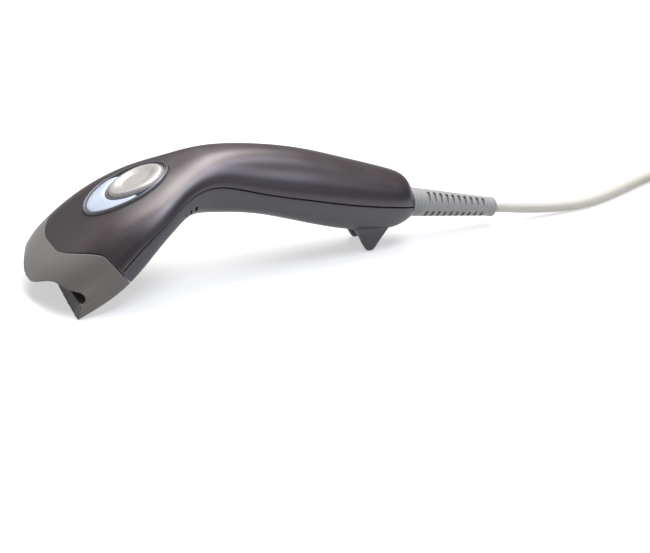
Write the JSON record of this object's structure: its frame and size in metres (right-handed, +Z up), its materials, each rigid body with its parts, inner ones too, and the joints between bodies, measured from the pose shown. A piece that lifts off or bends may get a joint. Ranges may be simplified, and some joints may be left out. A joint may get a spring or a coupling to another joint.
{
  "type": "handheld barcode scanner",
  "caption": "Corded hand scanner with a wide duck-bill nose, arched grip, oval push trigger, resting legs, ribbed boot and a coiled cable with a plug.",
  "frame": {"origin": "bottom centre of the scanner's own box, without the free cable: on the table, on the middle plane", "axes": "+X along the scanner from the nose to the cable, +Y to the scanner's left side seen from the tail looking to the nose, +Z up"},
  "size_m": [0.4171, 0.1207, 0.0609],
  "materials": {
    "housing": "fine satin moulding texture",
    "nose": "matte soft-touch moulding",
    "bezel": "satin dark grey",
    "lens": "translucent pale blue",
    "button": "satin grey",
    "boot": "matte moulded boot",
    "cable": "matte cable jacket",
    "board": "solder-resist green",
    "black": "matte black",
    "steel": "plain bright steel",
    "window": "deep red filter",
    "white": "white",
    "glass": "clear lens"
  },
  "bodies": {
    "housing": {"upper_housing": "housing", "lower_housing": "housing", "nose_cover": "nose", "trigger_bezel": "bezel", "indicator_lens": "lens", "trigger_return_spring": "steel", "trigger_switch": "black", "trigger_board": "board", "trigger_board_screw_1": "steel", "trigger_board_screw_2": "steel", "status_board": "board", "status_diode_1": "white", "status_diode_2": "white", "scan_window": "window", "window_gasket": "black", "optics_chassis": "black", "lens_barrel": "black", "image_sensor": "black", "chassis_screw_1": "steel", "chassis_screw_2": "steel", "receiving_lens": "glass", "sensor_board": "board", "illumination_board": "board", "illumination_diode_1": "white", "illumination_diode_2": "white", "illumination_diode_3": "white", "illumination_diode_4": "white", "main_board": "board", "board_screw_1": "steel", "board_screw_2": "steel", "board_screw_3": "steel", "decoder_chip": "black", "memory_chip": "black", "beeper": "black", "cable_header": "white", "cable_connector": "white", "cable_leads": "cable", "cable_core": "cable", "cable_clamp": "steel", "clamp_screw_1": "steel", "clamp_screw_2": "steel", "strain_relief": "boot", "housing_screw_front": "steel", "housing_screw_rear": "steel", "cable": "cable", "cable_coil": "cable", "cable_tie": "black", "cable_tail": "cable", "plug_body": "boot", "plug_shell": "steel", "plug_tongue": "white"},
    "trigger": {"trigger_button": "button"},
    "plunger": {"switch_plunger": "black"}
  },
  "joints": [
    {"name": "trigger_press", "type": "slide", "parent": "housing", "child": "trigger", "axis": [0.3746, 0, -0.9272], "range_m": [0, 0.0012], "stiffness_N_per_m": 800, "springref_m": -0.001, "deforming": ["trigger_return_spring"]},
    {"name": "switch_plunger_press", "type": "slide", "parent": "housing", "child": "plunger", "axis": [0.3746, 0, -0.9272], "range_m": [0, 0.0012]}
  ],
  "couplings": [
    {"joint": "switch_plunger_press", "follows": "trigger_press", "ratio": 1}
  ]
}
